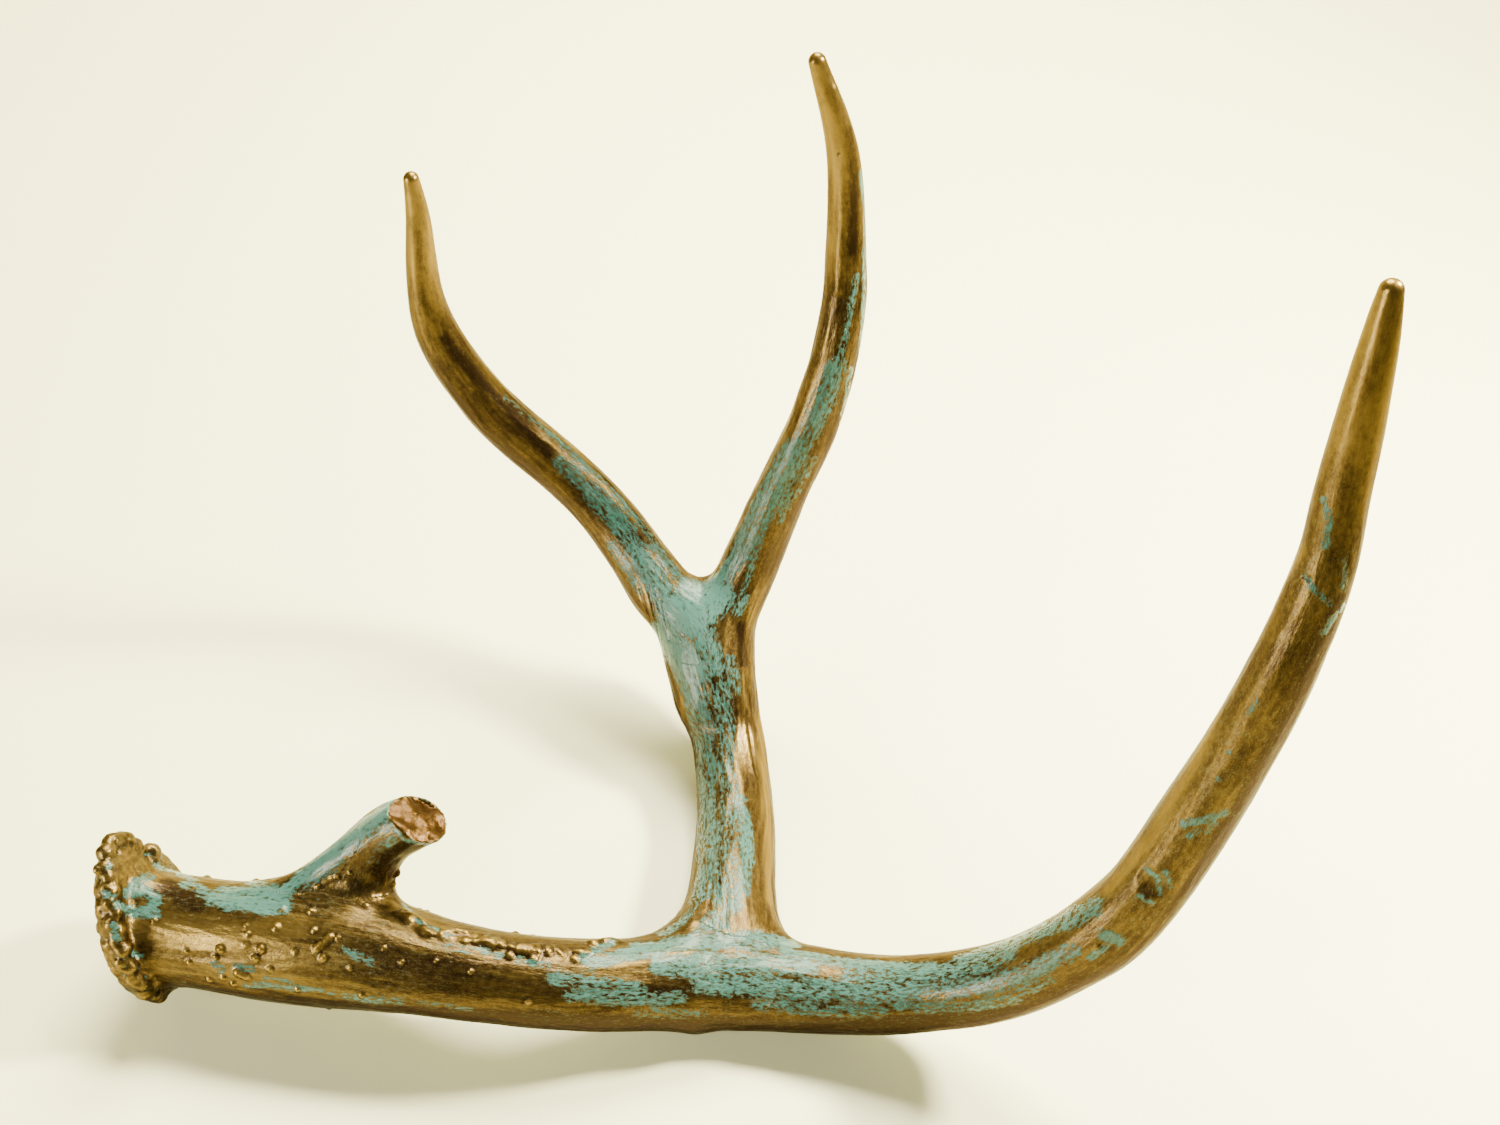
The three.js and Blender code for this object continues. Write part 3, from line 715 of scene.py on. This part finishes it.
lowest = 1 - smoothstep(-0.8, -0.2, NRM[:, 2])
DENSITY = np.maximum(DENSITY, (1 - seen) * np.clip(back, 0, 1.1) * lowest)
DENSITY *= 1 - 0.9 * ON_CUT
DENSITY = np.maximum(DENSITY, ON_BURR * smoothstep(0.12, 0.45, HOLLOW) * 0.75)
rim = np.abs(dot(V - CUT_AT.astype(F), CUT_N) + 0.9)
RIM = (1 - smoothstep(0.5, 1.3, rim)) * (np.linalg.norm(V - CUT_AT.astype(F), axis=1) < 18) * (1 - ON_CUT)
DENSITY = np.maximum(DENSITY, 0.95 * RIM)
PATINA = DENSITY * (0.86 - 0.14 * WEIGHT["stem"]) + (0.62 * mottle - 0.05) * np.clip(DENSITY * 3, 0, 1) - 0.45 * PEARL - 0.3 * np.clip(KNOBBLY, 0, 1) * (mottle > -0.2)
PATINA += np.clip(HOLLOW, -0.3, 0.3) * 0.5 * np.clip(DENSITY * 3, 0, 1)

# lighter against darker bronze: brushed paint stands on ridges, and hollows go brown, partly a brown wash and partly
# painted shade
GOLD_WITH_PAINTED_LIGHT = 0.42 + 0.1 * NECK + 0.10 * streak(6, 30, 141) + 0.08 * streak(1.6, 7, 151) + 0.08 * noise(V * F(1 / 1.7), 152) + 0.10 * noise(V * F(1 / 14.0), 153) - 0.9 * np.clip(HOLLOW, -0.35, 0.35) + 0.22 * np.clip(PEARL, 0, 1)
# painted shade: surfaces that face down are darker brown, except at the tips; the tips and the cut face are lighter
# paint
GOLD_WITH_PAINTED_LIGHT += 0.25 * TIP - 0.42 * (1 - smoothstep(-0.6, 0.45, NRM[:, 2])) * (1 - TIP) + 0.15 * ON_CUT
# painted light among the strokes below: lighter bands are painted highlights and painted reflections, darker bands are
# painted shade; the others are paint
for d, r, pts in [
    # stem's right strip: painted highlight on its lit side, over bare paint; stem's left edge: paint
    (0.45, 6, [(758, 690), (762, 760), (768, 830), (770, 900)]), (0.3, 3.5, [(681, 700), (686, 760), (689, 830)]),
    # band along the neck: painted highlight; dark spot by the burr: brown paint
    (0.3, 12, [(140, 925), (180, 932), (230, 936), (300, 925)]), (-0.4, 10, [(168, 885), (186, 898), (200, 903)]),
    # band under the beam: painted shade; patch in the crotch: brown paint
    (-0.45, 11, [(300, 1003), (450, 1016), (600, 1024), (760, 1026), (900, 1026), (1010, 1014)]), (-0.35, 5, [(741, 628), (744, 662)]),
    # upper beam's left side: painted reflection of the bright floor
    (0.3, 8, [(1110, 890), (1150, 840), (1190, 770), (1230, 690), (1270, 610), (1302, 550)]),
    # upper beam's right side: painted shade; lighter tine edges: painted reflections; right tine's darker right half:
    # painted shade
    (-0.25, 9, [(1190, 890), (1250, 790), (1300, 700), (1340, 600)]), (0.3, 6, [(438, 330), (413, 260), (408, 200)]), (0.25, 4, [(560, 432), (600, 480), (640, 530)]), (-0.3, 5, [(849, 130), (855, 190), (853, 250)]), (0.25, 5, [(832, 250), (836, 180), (826, 110)]),
    # left tine's darker middle band: painted shade
    (-0.3, 5, [(412, 220), (424, 300), (452, 350), (500, 400), (548, 452)]),
]:
    GOLD_WITH_PAINTED_LIGHT += d * stroke(pts, r, 0.8)
PATINA += (0.16 + 0.10 * broad) * np.clip(1.2 * NECK + 0.75 * WEIGHT["beam"] + 1.2 * (WEIGHT["brow"] + WEIGHT["web"]) - 0.8 * TIP, 0, 1) * (1 - ON_CUT)


# ---------------------------------------------------------------- pieces
# planes where the pieces part, as in the solids
BEAM_SPLIT = ([66.0, -86.8, 17.0], [0.985, -0.16, 0.06])
STEM_SPLIT = ([34.6, -58.0, 16.0], [-0.02, 1.0, -0.03])
CROTCH_SPLIT = ([23.6, 56.0, 43.0], [-0.08, 0.72, 0.69])
TINE_SPLIT = ([22.5, 66.0, 50.0], [0.94, -0.15, 0.3])
BROW_SPLIT = ([-90.6, -60.5, 44.5], [0.42, 0.33, 0.845])


def plane(at, normal):
    n = np.array(normal) / np.linalg.norm(normal)
    at = np.array(at) + MOVE
    return lambda p: (p - at) @ n


def tube(p, *names):
    out = np.full(len(p), 1e3)
    for name in names:
        q = LINES[name].near(p.astype(F))
        out = np.minimum(out, q[:, 0] - q[:, 1])
    return out


def split(data, tri, flat, fn):
    """Parts a closed mesh where fn changes sign; both sides keep the same points along the seam and get a closing face."""
    d = fn(data[:, :3])
    d = np.where(np.abs(d) < 1e-6, 1e-6, d)
    ins = d > 0
    k = ins[tri].sum(1)
    mixed = (k == 1) | (k == 2)
    cross, cflat = tri[mixed], flat[mixed]
    kk = ins[cross].sum(1)
    lone = np.where(kk == 1, ins[cross].argmax(1), (~ins[cross]).argmax(1))
    r = np.arange(len(cross))
    a, b, c = cross[r, lone], cross[r, (lone + 1) % 3], cross[r, (lone + 2) % 3]
    e, inv = np.unique(np.concatenate([np.sort(np.stack([a, b], 1), 1), np.sort(np.stack([a, c], 1), 1)]), axis=0, return_inverse=True)
    inv = inv.ravel()
    t = d[e[:, 0]] / (d[e[:, 0]] - d[e[:, 1]])
    new = data[e[:, 0]] * (1 - t[:, None]) + data[e[:, 1]] * t[:, None]
    i1, i2 = inv[: len(a)] + len(data), inv[len(a) :] + len(data)
    tip = np.stack([a, i1, i2], 1)
    rest = np.concatenate([np.stack([i1, b, c], 1), np.stack([i1, c, i2], 1)])
    rflat = np.concatenate([cflat, cflat])
    out = []
    for side in (True, False):
        lonely = kk == (1 if side else 2)  # triangles whose lone corner is on this side
        keep = tri[k == (3 if side else 0)]
        kept_flat = flat[k == (3 if side else 0)]
        others = np.concatenate([~lonely, ~lonely])
        parts = [keep, tip[lonely], rest[others]]
        flats = [kept_flat, cflat[lonely], rflat[others]]
        # the seam's edges run against the kept triangles
        edge = np.concatenate([np.stack([i2[lonely], i1[lonely]], 1), np.stack([i1[~lonely], i2[~lonely]], 1)])
        pts = np.concatenate([data, new])
        # one fan for each loop
        label = np.arange(len(pts))
        for _ in range(60):
            low = np.minimum(label[edge[:, 0]], label[edge[:, 1]])
            before = label.copy()
            np.minimum.at(label, edge[:, 0], low)
            np.minimum.at(label, edge[:, 1], low)
            label = label[label]
            if (before == label).all():
                break
        centres = []
        for root in np.unique(label[edge[:, 0]]):
            m = label[edge[:, 0]] == root
            ids = np.unique(edge[m])
            centres.append(pts[ids].mean(0))
            fan = np.stack([edge[m, 0], edge[m, 1], np.full(m.sum(), len(pts) + len(centres) - 1)], 1)
            parts.append(fan)
            flats.append(np.ones(len(fan), bool))
        pts = np.concatenate([pts, np.array(centres)]) if centres else pts
        tris, fl = np.concatenate(parts), np.concatenate(flats)
        used = np.unique(tris)
        remap = np.full(len(pts), -1)
        remap[used] = np.arange(len(used))
        out.append((pts[used], remap[tris], fl))
    return out


GRAIN = np.zeros((len(V), 3), F)
best = np.zeros(len(V), F)
for i, (k, (m, c, q)) in enumerate(COORD.items()):
    w = WEIGHT[k][m]
    win = w > best[m]
    GRAIN[m[win]] = c[win] + F(i * 31.7)
    best[m[win]] = w[win]
CHANNELS = {
    "patina": PATINA, "gold_with_painted_light": GOLD_WITH_PAINTED_LIGHT, "hollow": HOLLOW, "burr": ON_BURR, "cut": ON_CUT, "tip": TIP, "pearl": PEARL,
}
DATA = np.concatenate([P, SMOOTH_N, GRAIN] + [x[:, None] for x in CHANNELS.values()], 1).astype(np.float64)
FLAT = np.zeros(len(TRI), bool)

brow_plane, stem_plane = plane(*BROW_SPLIT), plane(*STEM_SPLIT)
beam_plane, crotch_plane, tine_plane = plane(*BEAM_SPLIT), plane(*CROTCH_SPLIT), plane(*TINE_SPLIT)
stub, body = split(DATA, TRI, FLAT, lambda p: np.minimum(brow_plane(p), 5.5 - tube(p, "brow", "web")))
fork, body = split(*body, lambda p: np.minimum(stem_plane(p), 9.0 - tube(p, "stem", "left", "right")))
upper, lower = split(*body, lambda p: np.minimum(beam_plane(p), 9.0 - tube(p, "beam")))
tines, stem = split(*fork, crotch_plane)
right, left = split(*tines, tine_plane)


# ---------------------------------------------------------------- material
def make_material(name, seed):
    mat = bpy.data.materials.new(name)
    mat.use_nodes = True
    nt = mat.node_tree
    N, L = nt.nodes, nt.links
    N.clear()
    out = N.new("ShaderNodeOutputMaterial")
    bsdf = N.new("ShaderNodeBsdfPrincipled")
    L.new(bsdf.outputs["BSDF"], out.inputs["Surface"])

    def put(socket, value):
        if isinstance(value, bpy.types.NodeSocket):
            L.new(value, socket)
        else:
            socket.default_value = value

    def attr(n, vector=False):
        a = N.new("ShaderNodeAttribute")
        a.attribute_name = n
        return a.outputs["Vector" if vector else "Fac"]

    def math_(op, a, b=0.0, c=0.0, clamp=False):
        n = N.new("ShaderNodeMath")
        n.operation = op
        n.use_clamp = clamp
        put(n.inputs[0], a)
        put(n.inputs[1], b)
        put(n.inputs[2], c)
        return n.outputs[0]

    def ramp(x, a, b, lo=0.0, hi=1.0, smooth=True):
        n = N.new("ShaderNodeMapRange")
        n.interpolation_type = "SMOOTHSTEP" if smooth else "LINEAR"
        put(n.inputs["Value"], x)
        put(n.inputs["From Min"], a)
        put(n.inputs["From Max"], b)
        put(n.inputs["To Min"], lo)
        put(n.inputs["To Max"], hi)
        return n.outputs["Result"]

    def mix(f, a, b):
        n = N.new("ShaderNodeMix")
        n.data_type = "RGBA"
        put(n.inputs["Factor"], f)
        put(n.inputs["A"], a)
        put(n.inputs["B"], b)
        return n.outputs["Result"]

    def mixf(f, a, b):
        n = N.new("ShaderNodeMix")
        n.data_type = "FLOAT"
        put(n.inputs["Factor"], f)
        put(n.inputs["A"], a)
        put(n.inputs["B"], b)
        return n.outputs["Result"]

    def tex(vec, scale, detail=2.0, rough=0.5, stretch=(1, 1, 1)):
        m = N.new("ShaderNodeMapping")
        m.inputs["Scale"].default_value = stretch
        L.new(vec, m.inputs["Vector"])
        n = N.new("ShaderNodeTexNoise")
        n.inputs["Scale"].default_value = scale
        n.inputs["Detail"].default_value = detail
        n.inputs["Roughness"].default_value = rough
        L.new(m.outputs["Vector"], n.inputs["Vector"])
        return n.outputs["Fac"]

    coord = N.new("ShaderNodeTexCoord").outputs["Object"]
    grain = attr("grain", True)
    fleck = tex(grain, 1.2, 3.0, 0.62, (1, 1, 0.36))  # under a millimetre across
    speck = tex(grain, 3.0, 2.0, 0.6, (1, 1, 0.5))
    fibre = tex(grain, 0.55, 3.0, 0.55, (1, 1, 0.09))
    dust = tex(coord, 1700.0, 2.0, 0.6)
    cloud = tex(coord, 90.0, 3.0, 0.55)

    # turquoise paint, rubbed thin in places
    wear = ramp(attr("patina"), 0.15, 0.5, 1.2, 4.0)
    p = math_("ADD", attr("patina"), math_("MULTIPLY", math_("SUBTRACT", fleck, 0.5), wear))
    p = math_("ADD", p, math_("MULTIPLY", math_("SUBTRACT", speck, 0.5), 1.1))
    paint = ramp(p, 0.46, 0.56)
    thick = ramp(p, 0.5, 1.15)
    teal = mix(thick, (0.017, 0.046, 0.030, 1), (0.050, 0.118, 0.083, 1))
    teal = mix(ramp(cloud, 0.4, 0.75, 0.0, 0.35), teal, (0.014, 0.080, 0.052, 1))
    teal = mix(ramp(fibre, 0.55, 0.8, 0.0, 0.4), teal, (0.085, 0.155, 0.115, 1))

    # bronze: golden paint brushed over brown; its lightness also carries painted highlights and painted shade from the
    # attribute
    g = math_("ADD", attr("gold_with_painted_light"), math_("MULTIPLY", math_("SUBTRACT", fibre, 0.5), 0.35))
    g = math_("ADD", g, math_("MULTIPLY", math_("SUBTRACT", fleck, 0.5), 0.3))
    g = math_("ADD", g, math_("MULTIPLY", math_("SUBTRACT", speck, 0.5), 0.45))
    gold_with_painted_light = mix(ramp(g, 0.15, 0.95), (0.025, 0.0128, 0.0034, 1), (0.180, 0.111, 0.020, 1))
    green = math_("MULTIPLY", ramp(p, 0.16, 0.46), ramp(attr("hollow"), -0.05, 0.2, 0.45, 0.8))
    gold_with_painted_light = mix(green, gold_with_painted_light, (0.090, 0.084, 0.036, 1))
    gold_with_painted_light = mix(math_("MULTIPLY", attr("cut"), 0.9), gold_with_painted_light, (0.034, 0.0135, 0.0012, 1))
    colour = mix(paint, gold_with_painted_light, teal)
    put(bsdf.inputs["Base Color"], colour)
    put(bsdf.inputs["Metallic"], mixf(paint, 0.86, 0.0))
    r_gold = math_("ADD", 0.29, math_("MULTIPLY", math_("SUBTRACT", fleck, 0.5), 0.25))
    r_gold = math_("ADD", r_gold, math_("MULTIPLY", dust, 0.08))
    put(bsdf.inputs["Roughness"], mixf(paint, r_gold, 0.27))
    bsdf.inputs["Coat Weight"].default_value = 0.06
    bsdf.inputs["Specular IOR Level"].default_value = 0.45
    bsdf.inputs["Specular Tint"].default_value = (0.5, 0.45, 0.3, 1)
    bsdf.inputs["Coat Roughness"].default_value = 0.13
    bsdf.inputs["Coat IOR"].default_value = 1.5

    # relief too fine for the mesh
    h = math_("MULTIPLY", fleck, 0.13)
    h = math_("ADD", h, math_("MULTIPLY", fibre, 0.12))
    h = math_("ADD", h, math_("MULTIPLY", dust, 0.03))
    h = math_("ADD", h, math_("MULTIPLY", paint, 0.05))
    h = math_("MULTIPLY", h, ramp(attr("tip"), 0.0, 1.0, 1.0, 0.45))
    b = N.new("ShaderNodeBump")
    b.inputs["Strength"].default_value = 1.0
    b.inputs["Distance"].default_value = 0.001
    L.new(h, b.inputs["Height"])
    L.new(b.outputs["Normal"], bsdf.inputs["Normal"])
    put(bsdf.inputs["Coat Normal"], b.outputs["Normal"])
    return mat


# ---------------------------------------------------------------- meshes
MATERIALS = {"bronze_paint": make_material("bronze_paint", 0), "turquoise_patina": make_material("turquoise_patina", 1), "gold_paint": make_material("gold_paint", 2)}
for name, node, slot, (data, tri, flat) in [
    ("burr_and_lower_beam_skin", "burr_and_lower_beam", "bronze_paint", lower),
    ("brow_tine_stub_skin", "brow_tine_stub", "turquoise_patina", stub),
    ("upper_beam_skin", "upper_beam", "bronze_paint", upper),
    ("fork_stem_skin", "fork_stem", "turquoise_patina", stem),
    ("rear_left_tine_skin", "rear_left_tine", "gold_paint", left),
    ("rear_right_tine_skin", "rear_right_tine", "gold_paint", right),
]:
    mesh = bpy.data.meshes.new(name)
    mesh.vertices.add(len(data))
    mesh.vertices.foreach_set("co", (data[:, :3] * 0.001).astype(F).ravel())
    mesh.loops.add(len(tri) * 3)
    mesh.loops.foreach_set("vertex_index", tri.astype(np.int32).ravel())
    mesh.polygons.add(len(tri))
    mesh.polygons.foreach_set("loop_start", np.arange(0, len(tri) * 3, 3, dtype=np.int32))
    mesh.update(calc_edges=True)
    mesh.polygons.foreach_set("use_smooth", np.ones(len(tri), bool))
    for i, ch in enumerate(CHANNELS):
        mesh.attributes.new(ch, "FLOAT", "POINT").data.foreach_set("value", data[:, 9 + i].astype(F))
    mesh.attributes.new("grain", "FLOAT_VECTOR", "POINT").data.foreach_set("vector", data[:, 6:9].astype(F).ravel())
    nrm = data[tri.ravel(), 3:6]
    nrm /= np.maximum(np.linalg.norm(nrm, axis=1), 1e-9)[:, None]
    fn = np.cross(data[tri[:, 1], :3] - data[tri[:, 0], :3], data[tri[:, 2], :3] - data[tri[:, 0], :3])
    fn /= np.maximum(np.linalg.norm(fn, axis=1), 1e-12)[:, None]
    nrm = np.where(np.repeat(flat, 3)[:, None], np.repeat(fn, 3, axis=0), nrm)
    mesh.normals_split_custom_set(nrm.tolist())
    mesh.materials.append(MATERIALS[slot])
    ob = bpy.data.objects.new(name, mesh)
    bpy.context.scene.collection.objects.link(ob)
    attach(ob, "root")
    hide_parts(node)

# ---------------------------------------------------------------- camera, floor, lights
cam = bpy.data.cameras.new("camera")
cam.sensor_width = 36.0
cam.lens = 36.0 * FOCAL / 1500.0
cam.clip_start = 0.01
cam.clip_end = 30
camera = bpy.data.objects.new("camera", cam)
bpy.context.scene.collection.objects.link(camera)
camera.location = Vector(CAM / 1000.0)
camera.rotation_euler = (math.pi / 2 - PITCH, 0, 0)
bpy.context.scene.camera = camera

# a pale floor that sweeps up behind
profile = [(-14.0, 0.0), (0.9, 0.0)] + [(0.9 + 0.6 * math.sin(a), 0.6 - 0.6 * math.cos(a)) for a in np.linspace(0.08, math.pi / 2, 18)] + [(1.5, 2.4)]
verts = [(x, y, z) for y, z in profile for x in (-14.0, 14.0)]
floor_mesh = bpy.data.meshes.new("floor")
floor_mesh.from_pydata(verts, [], [(2 * k, 2 * k + 1, 2 * k + 3, 2 * k + 2) for k in range(len(profile) - 1)])
for poly in floor_mesh.polygons:
    poly.use_smooth = True
floor = bpy.data.objects.new("floor", floor_mesh)
bpy.context.scene.collection.objects.link(floor)
fm = bpy.data.materials.new("floor")
fm.use_nodes = True
fm.node_tree.nodes["Principled BSDF"].inputs["Base Color"].default_value = (0.96, 0.90, 0.46, 1)
fm.node_tree.nodes["Principled BSDF"].inputs["Roughness"].default_value = 0.55
floor_mesh.materials.append(fm)


def area(name, at, target, size, power, colour, tall=None):
    l = bpy.data.lights.new(name, "AREA")
    l.shape = "ELLIPSE" if tall else "DISK"
    l.size = size
    if tall:
        l.size_y = tall
    l.energy = power
    l.color = colour
    o = bpy.data.objects.new(name, l)
    bpy.context.scene.collection.objects.link(o)
    o.location = at
    o.rotation_euler = (Vector(target) - Vector(at)).to_track_quat("-Z", "Y").to_euler()
    return o


area("key", (0.57, 0.10, 0.57), (0.0, -0.02, 0.05), 0.13, 30, (1.0, 0.98, 0.9))
area("overhead", (0.1, 0.85, 1.3), (0.0, 0.5, 0.0), 0.8, 88, (1.0, 0.985, 0.9))
area("lamp", (0.25, 0.34, 0.98), (0.02, 0.05, 0.0), 0.16, 7, (1.0, 0.985, 0.9))
area("window", (-1.05, -0.62, 0.38), (-0.02, 0.0, 0.06), 0.24, 26, (1.0, 0.995, 0.97), 0.74)
world = bpy.data.worlds.new("world")
bpy.context.scene.world = world
world.use_nodes = True
world.node_tree.nodes["Background"].inputs["Color"].default_value = (1.0, 0.985, 0.9, 1)
world.node_tree.nodes["Background"].inputs["Strength"].default_value = 0.17
